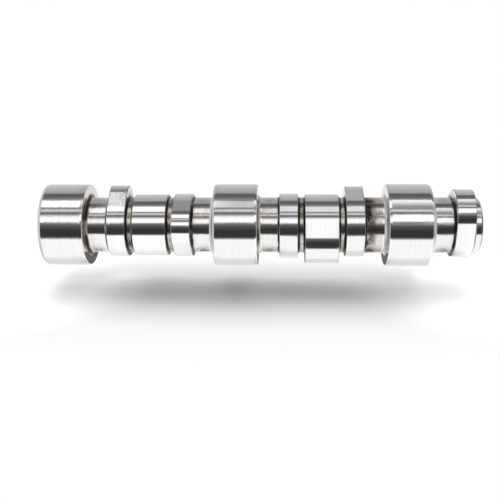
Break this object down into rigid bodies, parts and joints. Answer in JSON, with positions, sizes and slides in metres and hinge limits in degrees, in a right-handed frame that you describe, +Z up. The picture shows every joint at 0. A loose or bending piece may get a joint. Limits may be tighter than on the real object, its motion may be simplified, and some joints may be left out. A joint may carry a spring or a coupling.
{
  "type": "camshaft",
  "caption": "Polished steel camshaft of a large in-line diesel: wide bearing journals, narrow valve lobes, broad injector lobes between them, and a drilled drive end.",
  "frame": {"origin": "centre of the drive end's flat face, where the timing gear seats, on the shaft's axis", "axes": "+X along the shaft from the drive end to the plain rear end, +Z up, -Y towards the viewer of the picture"},
  "size_m": [0.4262, 0.081, 0.081],
  "materials": {
    "steel": "ground and polished journals and lobes, turned necks with a light brown skin left in the fillets"
  },
  "bodies": {
    "root": {"camshaft": "steel"}
  },
  "joints": []
}
